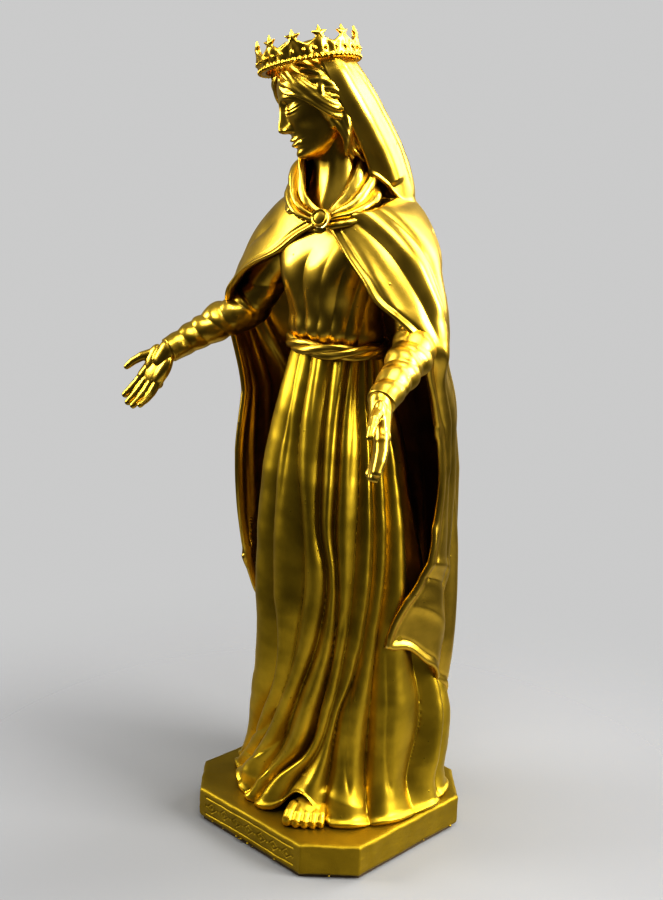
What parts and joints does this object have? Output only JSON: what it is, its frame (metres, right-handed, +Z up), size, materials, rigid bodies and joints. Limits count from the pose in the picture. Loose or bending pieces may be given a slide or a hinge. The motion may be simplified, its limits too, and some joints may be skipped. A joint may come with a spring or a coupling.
{
  "type": "religious statuette",
  "caption": "Standing robed figure with lowered open hands, a long mantle, a veil and a lift-off crown of stars, on a cut-corner plinth.",
  "frame": {"origin": "middle of the underside of the felt under the plinth", "axes": "+Z up along the figure, -Y out of the front of the figure, +X towards the figure's own left hand"},
  "size_m": [0.1812, 0.1281, 0.3969],
  "materials": {
    "bright_gold": "cast resin in glossy metallic bronze-gold paint",
    "satin_gold": "cast resin in satin metallic gold paint, olive in the folds",
    "grainy_gold": "cast resin in dull grainy bronze-gold paint",
    "crown_gold": "cast resin in metallic gold paint, worn at the points",
    "zinc_steel": "zinc plated",
    "beech": "plain turned dowel",
    "felt": "dark green pressed felt"
  },
  "bodies": {
    "statue": {"base_felt": "felt", "plinth": "grainy_gold", "rod_nut": "zinc_steel", "rod_washer": "zinc_steel", "tie_rod": "zinc_steel", "right_hem_pin": "zinc_steel", "left_hem_pin": "zinc_steel", "tunic_skirt": "satin_gold", "left_foot": "satin_gold", "right_foot": "satin_gold", "bodice": "bright_gold", "sash_belt": "bright_gold", "mantle": "bright_gold", "kerchief_collar": "bright_gold", "clasp_button": "bright_gold", "left_sleeve": "bright_gold", "left_hand": "bright_gold", "left_wrist_dowel": "beech", "right_sleeve": "bright_gold", "right_hand": "bright_gold", "right_wrist_dowel": "beech", "head": "bright_gold", "hair": "bright_gold", "veil": "bright_gold", "neck_dowel": "beech"},
    "crown": {"crown": "crown_gold"}
  },
  "joints": [
    {"name": "crown_lift", "type": "slide", "parent": "statue", "child": "crown", "axis": [-0.2229, -0.0585, 0.9731], "range_m": [0, 0.03]}
  ]
}
